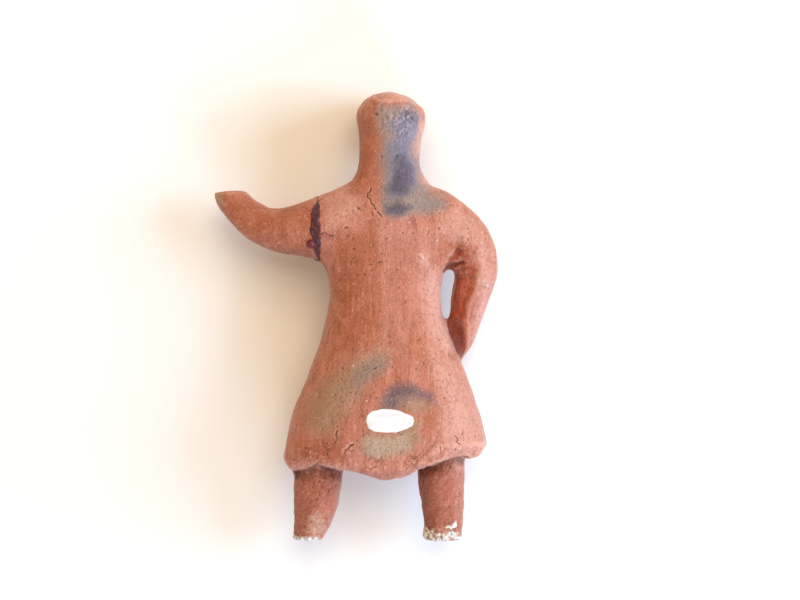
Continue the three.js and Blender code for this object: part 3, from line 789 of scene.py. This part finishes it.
    def add_plaster(self):
        """Builds up the plaster at the legs' ends, and returns where it is."""
        crumbs = self.noise(0.8, 60)
        plaster = stained(self.pixels + 0.7 * self.ragged, [(outline, 1.5) for outline in PLASTER])
        plaster = smooth_step(plaster * (0.75 + 0.8 * crumbs), 0.3, 0.6)
        plaster *= smooth_step(self.normals[:, 2], -0.5, -0.1)
        lump = near_line(self.pixels, *PLASTER_LUMP)
        thick = plaster * (0.14 + 0.16 * crumbs + PLASTER_LUMP_HEIGHT * lump)
        self.surface.push(thick * smooth_step(self.surface.above_flats(), 0, 0.3))
        return plaster

    def add_coats(self):
        """Raises the bits of white and the paint of the patch, and returns where the bits are."""
        crumb = np.zeros(len(self.points))
        for x, y, radius in CRUMBS:
            away = np.hypot(*(self.pixels + 0.5 * self.wander - (x, y)).T)
            crumb = np.maximum(crumb, 1 - smooth_step(away, 0.6 * radius, radius))
        crumb *= self.upward
        self.surface.push(CRUMB_HEIGHT * crumb + PAINT_HEIGHT * self.patch)
        return crumb

    def break_wrist(self):
        """Makes the flat break of the wrist uneven, and returns where it is."""
        stump = 1 - smooth_step(self.pixels[:, 0], *STUMP_COLUMNS)
        stump *= smooth_step(self.normals[:, 1], 0.7, 0.93)
        self.surface.push(STUMP_ROUGHNESS * stump * self.noise(0.9, 62))
        return stump


def broken_lines(points, cell, seed):
    """1 along thin wandering lines that come and go."""
    line = 1 - smooth_step(np.abs(layered_noise(points, cell, seed, 2)), 0.02, 0.14)
    return line * smooth_step(lattice_noise(points, np.multiply(cell, 2), seed + 5), 0.0, 0.4)


def model_clay(surface):
    """Presses the figure's marks into the clay, and returns stains and painted shade and light as named
    values.
    """
    shift_ends(surface)
    model_face(surface)
    clay = ClayModel(surface)
    loose = clay.pixels + clay.ragged
    stains = {name: stained(loose, areas) * clay.upward for name, areas in RAGGED_STAINS.items()}
    stains["soot"] = smooth_step(depth_within(loose, SOOT), *SOOT_EDGE) * clay.upward
    # The painted shade of the bent arm.
    stains["bent_arm_shade"] = stained(clay.pixels + 0.3 * clay.ragged, BENT_ARM_SHADE) * clay.upward

    clay.shape_forearm()
    clay.raise_ridges()
    stains["shade"] = clay.step_edges()
    stains["wrinkled"] = clay.handle()
    # Painted shade in the cracks and the creases.
    stains["crack_shade"] = clay.press_lines()
    stains["pitted"] = clay.add_grains()
    surface.push(SPECKLE_HEIGHT * stains["speckled"] * clay.noise(0.5, 58, layers=1))
    plaster = clay.add_plaster()
    stains["plaster"] = np.maximum(plaster, clay.add_coats())
    stains["broken"] = clay.break_wrist()
    stains["hollow"] = surface.hollows(HOLLOW_ROUNDS) * clay.bare

    stains["patch"] = clay.patch
    stains["leg"] = clay.on_legs
    stains["dress"] = clay.on_dress
    stains["underside"] = 1 - clay.upward
    surface.store()
    return stains


def add_values(mesh, values):
    """Makes the mesh smooth to look at and gives it named values, which its material reads."""
    mesh.polygons.foreach_set("use_smooth", [True] * len(mesh.polygons))
    for name, column in values.items():
        layer = mesh.attributes.new(name, "FLOAT", "POINT")
        layer.data.foreach_set("value", column.astype(np.float32))


def gap_cutter():
    """A prism through the figure, along the camera's view, that ends the arm's gap in a point."""
    rings = []
    for height in GAP_CUTTER_HEIGHTS:
        nearer = (CAMERA_RISE + MIDDLE_DEPTH - height) / CAMERA_RISE * MM_PER_PX
        for x, y in GAP_END:
            place = PHOTO_MIDDLE + np.array([x - PHOTO_WIDTH / 2, PHOTO_HEIGHT / 2 - y]) * nearer
            rings.append((*place, height))
    count = len(GAP_END)
    faces = [tuple(range(count)), tuple(range(2 * count - 1, count - 1, -1))]
    for i in range(count):
        after = (i + 1) % count
        faces.append((after, i, i + count, after + count))
    return new_mesh("gap_cutter", rings, faces)


def cut(mesh, cutter):
    """The mesh without what lies inside the cutter."""
    tool = add_object("cutter", cutter)
    result = modified(mesh, "BOOLEAN", operation="DIFFERENCE", solver="EXACT", object=tool)
    bpy.data.objects.remove(tool)
    return result


def make_clay():
    solid = cut(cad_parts["figure"].data.copy(), gap_cutter())
    whole = joined("whole_clay", mesh_points(solid), mesh_faces(solid), *groove_filler())
    surface = dense_clay(remeshed(whole, CLAY_VOXEL))
    add_values(surface.mesh, model_clay(surface))
    piece = add_object("figure_clay", surface.mesh)
    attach(piece, "root")
    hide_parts("figure")
    return piece


# The glue's middle and half width in pixels by the row, where the photograph shows it, and its half width
# elsewhere in millimetres.
GLUE_ROWS = [197, 203, 205.5, 208, 213, 221, 230, 239, 246, 253, 260]
GLUE_COLUMNS = [318, 317.5, 317, 316, 315, 315.2, 315.3, 316.5, 317, 318, 319.5]
GLUE_HALF_WIDTHS = [0.5, 0.9, 3.2, 4.1, 4.6, 4.7, 4.6, 4.3, 3.5, 2.6, 1.5]
GLUE_HALF_WIDTH_BELOW = 0.5
# How far the bead stands out, as a share of its half width, and how far it reaches into the clay.
GLUE_RISE = 0.26
GLUE_OVERLAP = 0.05
GLUE_DEPTH = 0.5
GLUE_PROFILE_POINTS = 13
# The drop of glue beside the bead, a ball that is flattened onto the clay.
GLUE_DRIP_PX = (311.2, 244.2)
GLUE_DRIP_RADIUS = 1.12
GLUE_DRIP_HEIGHT = 0.7


def seen_at(tree, pixel):
    """The point and the normal of the surface that shows at a pixel of the photograph."""
    offset = np.array([pixel[0] - PHOTO_WIDTH / 2, PHOTO_HEIGHT / 2 - pixel[1]]) * MM_PER_PX
    start = Vector((*PHOTO_MIDDLE, MIDDLE_DEPTH + CAMERA_RISE))
    point, normal, _, _ = tree.ray_cast(start, Vector((*offset, -CAMERA_RISE)))
    return point, normal


def glue_ring(clay):
    """The bead that follows the break, thick on the back and thin elsewhere, with uneven edges."""
    heights = SEAM_MIDDLE[1] + seam_radii.mean(0) * np.sin(seam_angles)
    sides = SEAM_MIDDLE[0] + seam_radii.mean(0) * np.cos(seam_angles)
    points = np.column_stack([seam_x, sides, heights])
    rows = to_pixels(points)[:, 1]
    nearer = (CAMERA_RISE + MIDDLE_DEPTH - heights) / CAMERA_RISE
    columns = np.interp(rows, GLUE_ROWS, GLUE_COLUMNS) - PHOTO_WIDTH / 2
    seen = smooth_step(np.sin(seam_angles), 0.0, 0.3)
    middle = seen * (PHOTO_MIDDLE[0] + columns * MM_PER_PX * nearer) + (1 - seen) * seam_x
    half = seen * np.interp(rows, GLUE_ROWS, GLUE_HALF_WIDTHS) * MM_PER_PX
    half += (1 - seen) * GLUE_HALF_WIDTH_BELOW
    edges = [1 + 0.34 * layered_noise(points, 1.0, SEED + draw) for draw in (70, 75)]
    proud = GLUE_RISE * half * (1 + 0.4 * layered_noise(points, 0.8, SEED + 80))

    def profile_at(i):
        outwards = Vector((0, math.cos(seam_angles[i]), math.sin(seam_angles[i])))
        outer, inner = [], []
        for share in np.linspace(-1, 1, GLUE_PROFILE_POINTS):
            place = middle[i] + share * half[i] * edges[int(share > 0)][i]
            level = clay.ray_cast(Vector((place, *SEAM_MIDDLE)), outwards)[3]
            rise = (proud[i] + GLUE_OVERLAP) * (1 - share**4) ** 0.5
            outer.append((place - seam_x[i], level - GLUE_OVERLAP + rise))
            inner.append((place - seam_x[i], level - GLUE_DEPTH))
        return outer + inner[::-1]

    return ring_mesh(profile_at)


def glue_drop(place, normal):
    """Points and faces of the drop of glue on the clay."""
    ball = bmesh.new()
    bmesh.ops.create_icosphere(ball, subdivisions=3, radius=GLUE_DRIP_RADIUS)
    turn = normal.to_track_quat("Z", "Y")
    flattened = [(*vertex.co.xy, vertex.co.z * GLUE_DRIP_HEIGHT) for vertex in ball.verts]
    points = np.array([place + turn @ Vector(point) for point in flattened])
    faces = [tuple(vertex.index for vertex in face.verts) for face in ball.faces]
    ball.free()
    return points, faces


def make_glue(clay_mesh):
    clay = surface_tree(clay_mesh)
    place, normal = seen_at(clay, GLUE_DRIP_PX)
    whole = joined("whole_glue", *glue_ring(clay), *glue_drop(place, normal))
    surface = Surface(remeshed(whole, GLUE_VOXEL))
    surface.smooth(GLUE_SMOOTH_ROUNDS)
    surface.push(0.04 * layered_noise(surface.points, 0.7, SEED + 85))
    surface.store()
    away = np.linalg.norm(surface.points - np.array(place), axis=1) / GLUE_DRIP_RADIUS
    add_values(surface.mesh, {"drip": 1 - smooth_step(away, 0.8, 1.1)})
    piece = add_object("glue_bead", surface.mesh)
    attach(piece, "root")
    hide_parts("glue_seam")
    return piece


def linear(*srgb):
    """A colour given as 0 to 255 in each channel, as Blender's linear values."""
    channels = [c / 255 for c in srgb]
    return (*[c / 12.92 if c <= 0.04045 else ((c + 0.055) / 1.055) ** 2.4 for c in channels], 1.0)


NOISE_ROUGHNESS = 0.55


class Material:
    """A node material, built by short calls that each add one node and return an output.

    tint and darken work on the material's colour, which is built up layer by layer.
    """

    def __init__(self, name):
        self.material = bpy.data.materials.new(name)
        self.material.use_nodes = True
        self.nodes = self.material.node_tree.nodes
        place = self.add("TexCoord", {})["Object"]
        self.place = self.add("VectorMath", {0: place, "Scale": METRE}, operation="SCALE")[0]
        self.colour = None

    def set_inputs(self, node, inputs):
        """Links a node's inputs to outputs, and sets those that are given plain values."""
        for name, value in inputs.items():
            if isinstance(value, bpy.types.NodeSocket):
                self.material.node_tree.links.new(value, node.inputs[name])
            else:
                node.inputs[name].default_value = value

    def add(self, kind, inputs, **settings):
        """Adds a node and returns all its outputs."""
        node = self.nodes.new("ShaderNode" + kind)
        for name, value in settings.items():
            setattr(node, name, value)
        self.set_inputs(node, inputs)
        return node.outputs

    def math(self, operation, a, b):
        return self.add("Math", {0: a, 1: b}, operation=operation)[0]

    def times(self, a, b):
        return self.math("MULTIPLY", a, b)

    def noise(self, size, detail, stretch=(1, 1, 1)):
        """Noise with lumps of the given size. stretch is below 1 along an axis where they are longer."""
        place = self.add("VectorMath", {0: self.place, 1: stretch}, operation="MULTIPLY")[0]
        inputs = {"Vector": place, "Scale": 1 / size, "Detail": detail, "Roughness": NOISE_ROUGHNESS}
        return self.add("TexNoise", inputs)["Fac"]

    def spots(self, size, radius, kept):
        """Small round spots, one in each cell of the given size, of which a share is kept."""
        cells = self.add("TexVoronoi", {"Vector": self.place, "Scale": 1 / size})
        near = self.ramp(cells["Distance"], radius / size, radius / size * 0.4)
        return self.times(near, self.ramp(cells["Color"], kept, kept - 0.05))

    def ramp(self, value, start, end, low=0.0, high=1.0):
        """low before start, high after end, and smooth between them."""
        inputs = {"Value": value, "From Min": start, "From Max": end, "To Min": low, "To Max": high}
        return self.add("MapRange", inputs, interpolation_type="SMOOTHSTEP")["Result"]

    def mix(self, share, a, b, blend="MIX"):
        return self.add("Mix", {"Factor": share, 6: a, 7: b}, data_type="RGBA", blend_type=blend)[2]

    def tint(self, share, colour):
        """Turns the material to a colour where share is near 1."""
        self.colour = self.mix(share, self.colour, colour)

    def darken(self, share, brightness):
        """Keeps only some of the material's brightness where share is near 1."""
        self.colour = self.mix(share, self.colour, (brightness, brightness, brightness, 1), "MULTIPLY")

    def stain(self, name):
        """One of the mesh's named values."""
        return self.add("Attribute", {}, attribute_name=name)["Fac"]

    def clamped(self, value):
        return self.add("Clamp", {"Value": value})["Result"]

    def bump(self, height, depth, below=None, strength=1.0):
        inputs = {"Height": height, "Distance": depth / METRE, "Strength": strength}
        if below is not None:
            inputs["Normal"] = below
        return self.add("Bump", inputs)["Normal"]

    def finish(self, inputs):
        """Gives the shader the material's colour and its other inputs."""
        self.set_inputs(self.nodes["Principled BSDF"], {"Base Color": self.colour, **inputs})
        return self.material


# The clay's stains and painted shade and light in the order that they are laid on, each with its strength and
# its colour, and those that are uneven with the clay's grain also with how uneven they are.
# Of these, the ruddy tint is partly painted warm light on the sides that face left, and the second is painted
# shade on the bent arm.
EVEN_STAINS = [("ruddy_and_warm_light", 0.65, (168, 88, 52)), ("bent_arm_shade", 0.85, (186, 72, 28)), ("leg", 0.35, (146, 78, 66))]
UNEVEN_STAINS = [
    ("red", 0.6, (140, 62, 60), 0.6),
    ("tan_cloud", 0.72, (156, 129, 102), 0.6),
    ("pale_lobe", 0.6, (184, 164, 146), 0.6),
    ("ashen", 0.5, (126, 114, 110), 1.0),
    ("soot", 0.9, (142, 128, 122), 0.6),
    ("blue_soot", 0.72, (112, 112, 137), 0.6),
    ("dark_arch", 0.82, (94, 78, 90), 0.6),
    ("deep_soot", 0.86, (80, 76, 93), 0.6),
    # Pale wear, partly painted highlight.
    ("pale_and_highlight", 0.33, (226, 180, 164), 1.4),
    ("dust", 0.28, (216, 192, 164), 3.0),
]
# Painted shade along the tunic's edges, on the sides that face away from the light, and in the cracks and
# creases.
DARK_STAINS = [("shade", 0.75, (98, 40, 30)), ("crack_shade", 0.85, (78, 40, 32))]


def tint_evenly(clay, stains):
    for name, strength, srgb in stains:
        clay.tint(clay.times(clay.stain(name), strength), linear(*srgb))


def tint_unevenly(clay, fine):
    """Lays on the stains, and the pale wear with painted highlight, that are uneven with the grain of the
    clay.
    """
    for name, strength, srgb, spread in UNEVEN_STAINS:
        uneven = clay.math("ADD", clay.stain(name), clay.times(clay.math("SUBTRACT", fine, 0.5), spread))
        level = clay.times(uneven, clay.ramp(clay.stain(name), 0.0, 0.3))
        clay.tint(clay.clamped(clay.times(level, strength)), linear(*srgb))


def colour_body(clay, medium, brushed, off_legs):
    """The fired clay with brushing streaks on the dress, underside clouds, ruddy partly painted warm light,
    and arm shade.
    """
    broad = clay.ramp(clay.noise(15, 2), 0.35, 0.65)
    bands = clay.noise(2.6, 2, stretch=(1, 0.07, 1))
    clay.colour = clay.mix(broad, linear(180, 106, 78), linear(184, 114, 94))
    clay.tint(clay.ramp(bands, 0.42, 0.62, 0, 0.35), linear(204, 138, 120))
    tint_evenly(clay, EVEN_STAINS)
    clay.tint(clay.times(clay.ramp(medium, 0.5, 0.75, 0, 0.45), off_legs), linear(204, 136, 112))
    clay.darken(clay.ramp(medium, 0.5, 0.25), 0.84)
    clouds = clay.times(clay.ramp(clay.noise(24, 2), 0.5, 0.64), clay.stain("underside"))
    clay.tint(clay.times(clouds, 0.6), linear(142, 118, 98))
    on_dress = clay.stain("dress")
    clay.darken(clay.times(clay.ramp(brushed, 0.52, 0.34), on_dress), 0.9)
    clay.tint(clay.times(clay.ramp(brushed, 0.5, 0.7, 0, 0.22), on_dress), linear(222, 158, 138))


def colour_grain(clay, fine, grain):
    """The specks of the head's soot, and the fine grain and glints of all the clay."""
    speckled = clay.stain("speckled")
    clay.tint(clay.times(clay.times(speckled, clay.ramp(fine, 0.5, 0.7)), 0.45), linear(206, 196, 192))
    clay.darken(clay.times(speckled, clay.ramp(grain, 0.44, 0.3)), 0.55)
    clay.darken(clay.ramp(fine, 0.48, 0.28), 0.78)
    clay.darken(clay.ramp(grain, 0.5, 0.3), 0.86)
    off_soot = clay.ramp(clay.stain("soot"), 0, 0.8, 1, 0.4)
    clay.tint(clay.times(clay.ramp(grain, 0.52, 0.74, 0, 0.3), off_soot), linear(226, 172, 148))


def colour_wear(clay, off_legs):
    """Painted shade in hollows, pits, wrinkles, cracks, at edges and on shaded sides, lighter raised places,
    spots and the broken wrist.
    """
    hollow = clay.stain("hollow")
    # Painted shade in the hollows, and lighter colour on the raised places.
    clay.darken(clay.ramp(hollow, 0.01, 0.08), 0.6)
    clay.tint(clay.times(clay.ramp(hollow, -0.01, -0.08, 0, 0.4), off_legs), linear(222, 170, 148))
    clay.darken(clay.spots(size=1.6, radius=0.12, kept=0.2), 0.5)
    clay.darken(clay.spots(size=0.9, radius=0.08, kept=0.3), 0.68)
    clay.tint(clay.times(clay.stain("broken"), 0.55), linear(140, 84, 58))
    clay.tint(clay.spots(size=1.3, radius=0.12, kept=0.35), linear(240, 216, 200))
    # Painted shade in the pits and in the wrinkles.
    clay.darken(clay.stain("pitted"), 0.65)
    clay.darken(clay.stain("wrinkled"), 0.82)
    tint_evenly(clay, DARK_STAINS)


def colour_coats(clay, fine):
    """The plaster and the brushed paint of the patch, which cover the clay."""
    chalk = clay.mix(clay.ramp(fine, 0.35, 0.6), linear(160, 138, 120), linear(238, 234, 226))
    clay.tint(clay.stain("plaster"), chalk)
    strokes = clay.ramp(clay.noise(2.2, 3, stretch=(0.25, 1, 1)), 0.4, 0.62)
    paint = clay.mix(strokes, linear(214, 217, 224), linear(234, 236, 241))
    clay.tint(clay.stain("patch"), paint)


def clay_material():
    clay = Material("fired_clay")
    medium = clay.noise(3.0, 4)
    fine = clay.noise(0.8, 4)
    grain = clay.noise(0.26, 2)
    brushed = clay.noise(0.8, 3, stretch=(1, 0.045, 1))
    off_legs = clay.ramp(clay.stain("leg"), 0, 1, 1.0, 0.35)
    colour_body(clay, medium, brushed, off_legs)
    tint_unevenly(clay, fine)
    colour_grain(clay, fine, grain)
    colour_wear(clay, off_legs)
    colour_coats(clay, fine)

    off_patch = clay.ramp(clay.stain("patch"), 0, 1, 1.0, 0.15)
    relief = clay.bump(grain, 0.2, strength=off_patch)
    relief = clay.bump(fine, 0.45, relief, off_patch)
    relief = clay.bump(brushed, 0.14, relief, clay.times(clay.stain("dress"), off_patch))
    roughness = clay.ramp(clay.stain("patch"), 0, 1, 0.86, 0.5)
    return clay.finish(
        {"Normal": relief, "Roughness": roughness, "Sheen Weight": 0.2, "Sheen Roughness": 0.4}
    )


def glue_material():
    glue = Material("dried_glue")
    lumps = glue.noise(0.7, 3)
    glue.colour = glue.mix(glue.ramp(lumps, 0.4, 0.62), linear(50, 12, 18), linear(96, 40, 56))
    glue.tint(glue.ramp(glue.noise(1.6, 2), 0.52, 0.66, 0, 0.6), linear(104, 30, 30))
    glue.tint(glue.stain("drip"), linear(112, 28, 36))
    return glue.finish({"Normal": glue.bump(lumps, 0.4), "Roughness": glue.ramp(lumps, 0.3, 0.7, 0.28, 0.6)})


FLOOR_HALF_SIZE = 900.0
FLOOR_HEIGHT = -0.02
FLOOR_ROUGHNESS = 0.9


def floor_material():
    paper = Material("pale_floor")
    paper.colour = paper.mix(paper.noise(60, 2), linear(238, 238, 238), linear(242, 242, 242))
    relief = paper.bump(paper.noise(1.2, 3), 0.02)
    return paper.finish({"Normal": relief, "Roughness": FLOOR_ROUGHNESS})


LIGHT_DISTANCE = 0.85
SURROUNDINGS_COLOUR = (1.0, 0.79, 0.56, 1)
SURROUNDINGS_STRENGTH = 0.62
SENSOR_WIDTH = 36.0


def make_floor():
    corners = ((-1, -1), (1, -1), (1, 1), (-1, 1))
    points = [(x * FLOOR_HALF_SIZE, y * FLOOR_HALF_SIZE, FLOOR_HEIGHT) for x, y in corners]
    floor = add_object("floor", new_mesh("floor", points, [(0, 1, 2, 3)]))
    floor.data.materials.append(floor_material())


def add_light(name, azimuth, elevation, size, power, colour):
    """A square area light that faces the figure. azimuth turns from the photograph's right to its top."""
    light = bpy.data.lights.new(name, "AREA")
    light.size = size
    light.energy = power
    light.color = colour
    lamp = add_object(name, light)
    turn, rise = math.radians(azimuth), math.radians(elevation)
    away = Vector((math.cos(turn) * math.cos(rise), math.sin(turn) * math.cos(rise), math.sin(rise)))
    lamp.location = away * LIGHT_DISTANCE
    lamp.rotation_euler = (-away).to_track_quat("-Z", "Y").to_euler()


def make_lights():
    add_light("window", azimuth=8, elevation=27, size=0.45, power=7.0, colour=(0.59, 0.82, 1.1))
    add_light("ceiling", azimuth=75, elevation=62, size=0.6, power=3.7, colour=(1.0, 0.8, 0.56))
    add_light("near_wall", azimuth=290, elevation=20, size=0.5, power=6.6, colour=(0.48, 0.7, 1.0))
    world = bpy.data.worlds.new("surroundings")
    world.use_nodes = True
    background = world.node_tree.nodes["Background"]
    background.inputs["Color"].default_value = SURROUNDINGS_COLOUR
    background.inputs["Strength"].default_value = SURROUNDINGS_STRENGTH
    bpy.context.scene.world = world
    bpy.context.scene.view_settings.view_transform = "Standard"


def make_camera():
    lens = bpy.data.cameras.new("camera")
    lens.sensor_width = SENSOR_WIDTH
    lens.lens = SENSOR_WIDTH * CAMERA_RISE / (PHOTO_WIDTH * MM_PER_PX)
    camera = add_object("camera", lens)
    camera.location = (*(PHOTO_MIDDLE / METRE), (CAMERA_RISE + MIDDLE_DEPTH) / METRE)
    bpy.context.scene.camera = camera


make_camera()
make_lights()
make_floor()
clay_piece = make_clay()
clay_piece.data.materials.append(clay_material())
make_glue(clay_piece.data).data.materials.append(glue_material())
